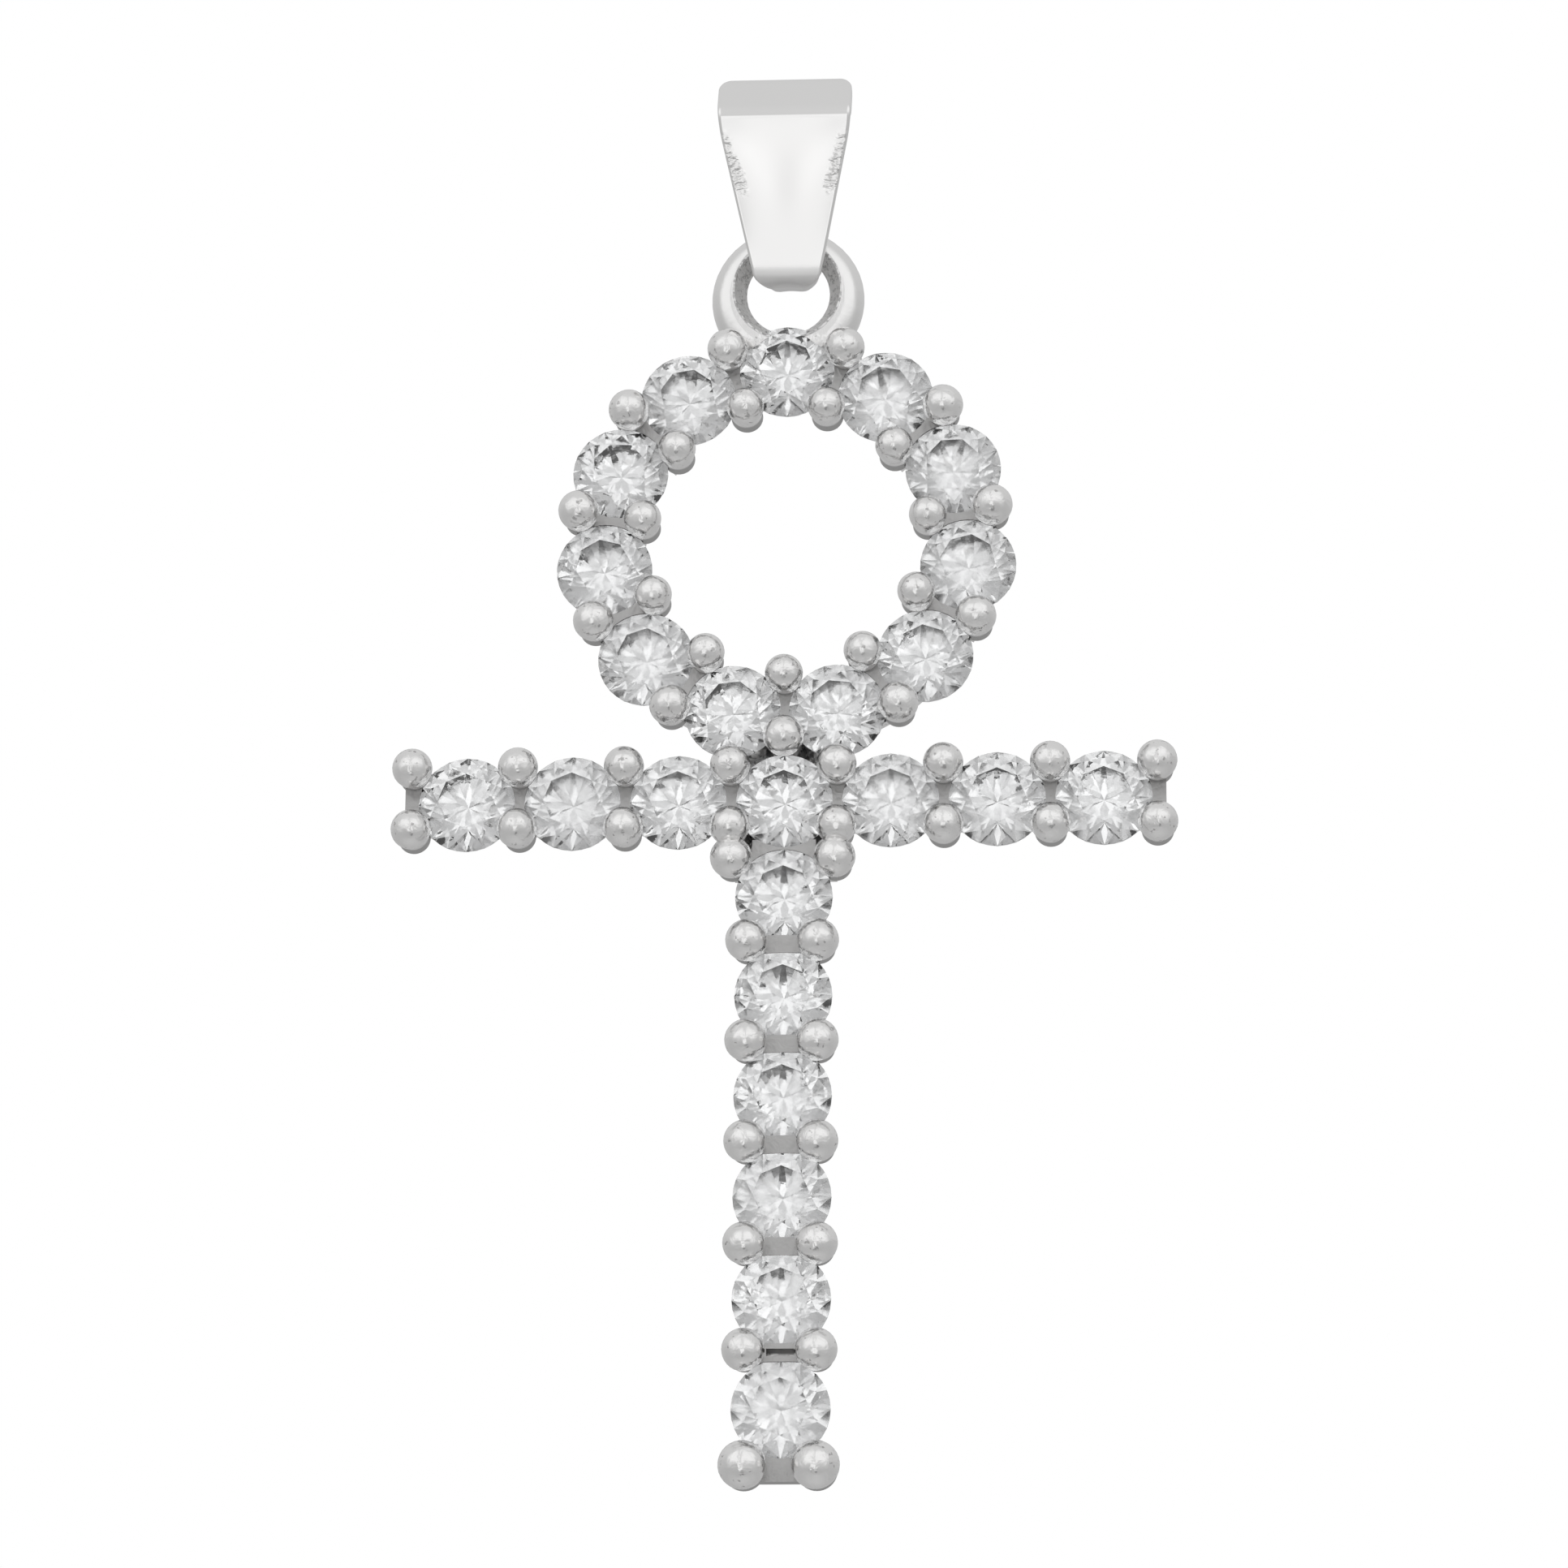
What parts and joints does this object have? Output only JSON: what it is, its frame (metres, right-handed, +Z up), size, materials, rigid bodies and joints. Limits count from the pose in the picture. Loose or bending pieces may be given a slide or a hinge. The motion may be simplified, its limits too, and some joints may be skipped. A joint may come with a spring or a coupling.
{
  "type": "ankh pendant",
  "caption": "Silver ankh pendant set with round clear stones in shared bead prongs, swinging by its loop from a tapered bail for a chain.",
  "frame": {"origin": "inside top of the bail, on its middle line, where a chain carries it", "axes": "+Z up the pendant, -Y towards its front, +X to the right as seen from the front"},
  "size_m": [0.0242, 0.0043, 0.0451],
  "materials": {
    "polished_silver": "polished",
    "cast_silver": "polished casting",
    "stone": "faceted, clear"
  },
  "bodies": {
    "bail": {"bail": "polished_silver"},
    "ankh": {"setting": "cast_silver", "cross_stone": "stone", "ring_stone_1": "stone", "ring_stone_2": "stone", "ring_stone_3": "stone", "ring_stone_4": "stone", "ring_stone_5": "stone", "ring_stone_6": "stone", "ring_stone_7": "stone", "ring_stone_8": "stone", "ring_stone_9": "stone", "ring_stone_10": "stone", "ring_stone_11": "stone", "left_arm_stone_1": "stone", "left_arm_stone_2": "stone", "left_arm_stone_3": "stone", "right_arm_stone_1": "stone", "right_arm_stone_2": "stone", "right_arm_stone_3": "stone", "stem_stone_1": "stone", "stem_stone_2": "stone", "stem_stone_3": "stone", "stem_stone_4": "stone", "stem_stone_5": "stone", "stem_stone_6": "stone"}
  },
  "joints": [
    {"name": "swing", "type": "hinge", "parent": "bail", "child": "ankh", "pos_m": [0, 0.00157, -0.00483], "axis": [1, 0, 0], "range_deg": [-40, 40]}
  ]
}
